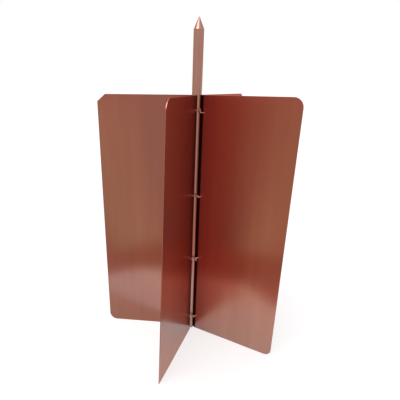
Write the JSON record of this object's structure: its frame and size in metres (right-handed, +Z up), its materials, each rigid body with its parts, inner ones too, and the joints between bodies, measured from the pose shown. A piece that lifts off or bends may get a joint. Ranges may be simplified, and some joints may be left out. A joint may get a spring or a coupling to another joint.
{
  "type": "earth electrode",
  "caption": "Pointed copper ground rod held between two bent copper sheets that spread from it as upright fins, laced to it with wire ties.",
  "frame": {"origin": "on the rod's axis, at the bottom edges of the fins", "axes": "+Z up along the rod towards its point; the left fin points nearly along -X and the front fin nearly along -Y"},
  "size_m": [0.2842, 0.2732, 0.4985],
  "materials": {
    "sheet_copper": "bright rolled copper sheet, softly reflecting",
    "rod_copper": "drawn copper skin of a copper-bonded steel rod, satin",
    "wire_copper": "bright soft copper wire"
  },
  "bodies": {
    "root": {"ground_rod": "rod_copper", "left_front_sheet": "sheet_copper", "right_back_sheet": "sheet_copper", "wire_tie_1": "wire_copper", "wire_tie_2": "wire_copper", "wire_tie_3": "wire_copper", "wire_tie_4": "wire_copper"}
  },
  "joints": []
}
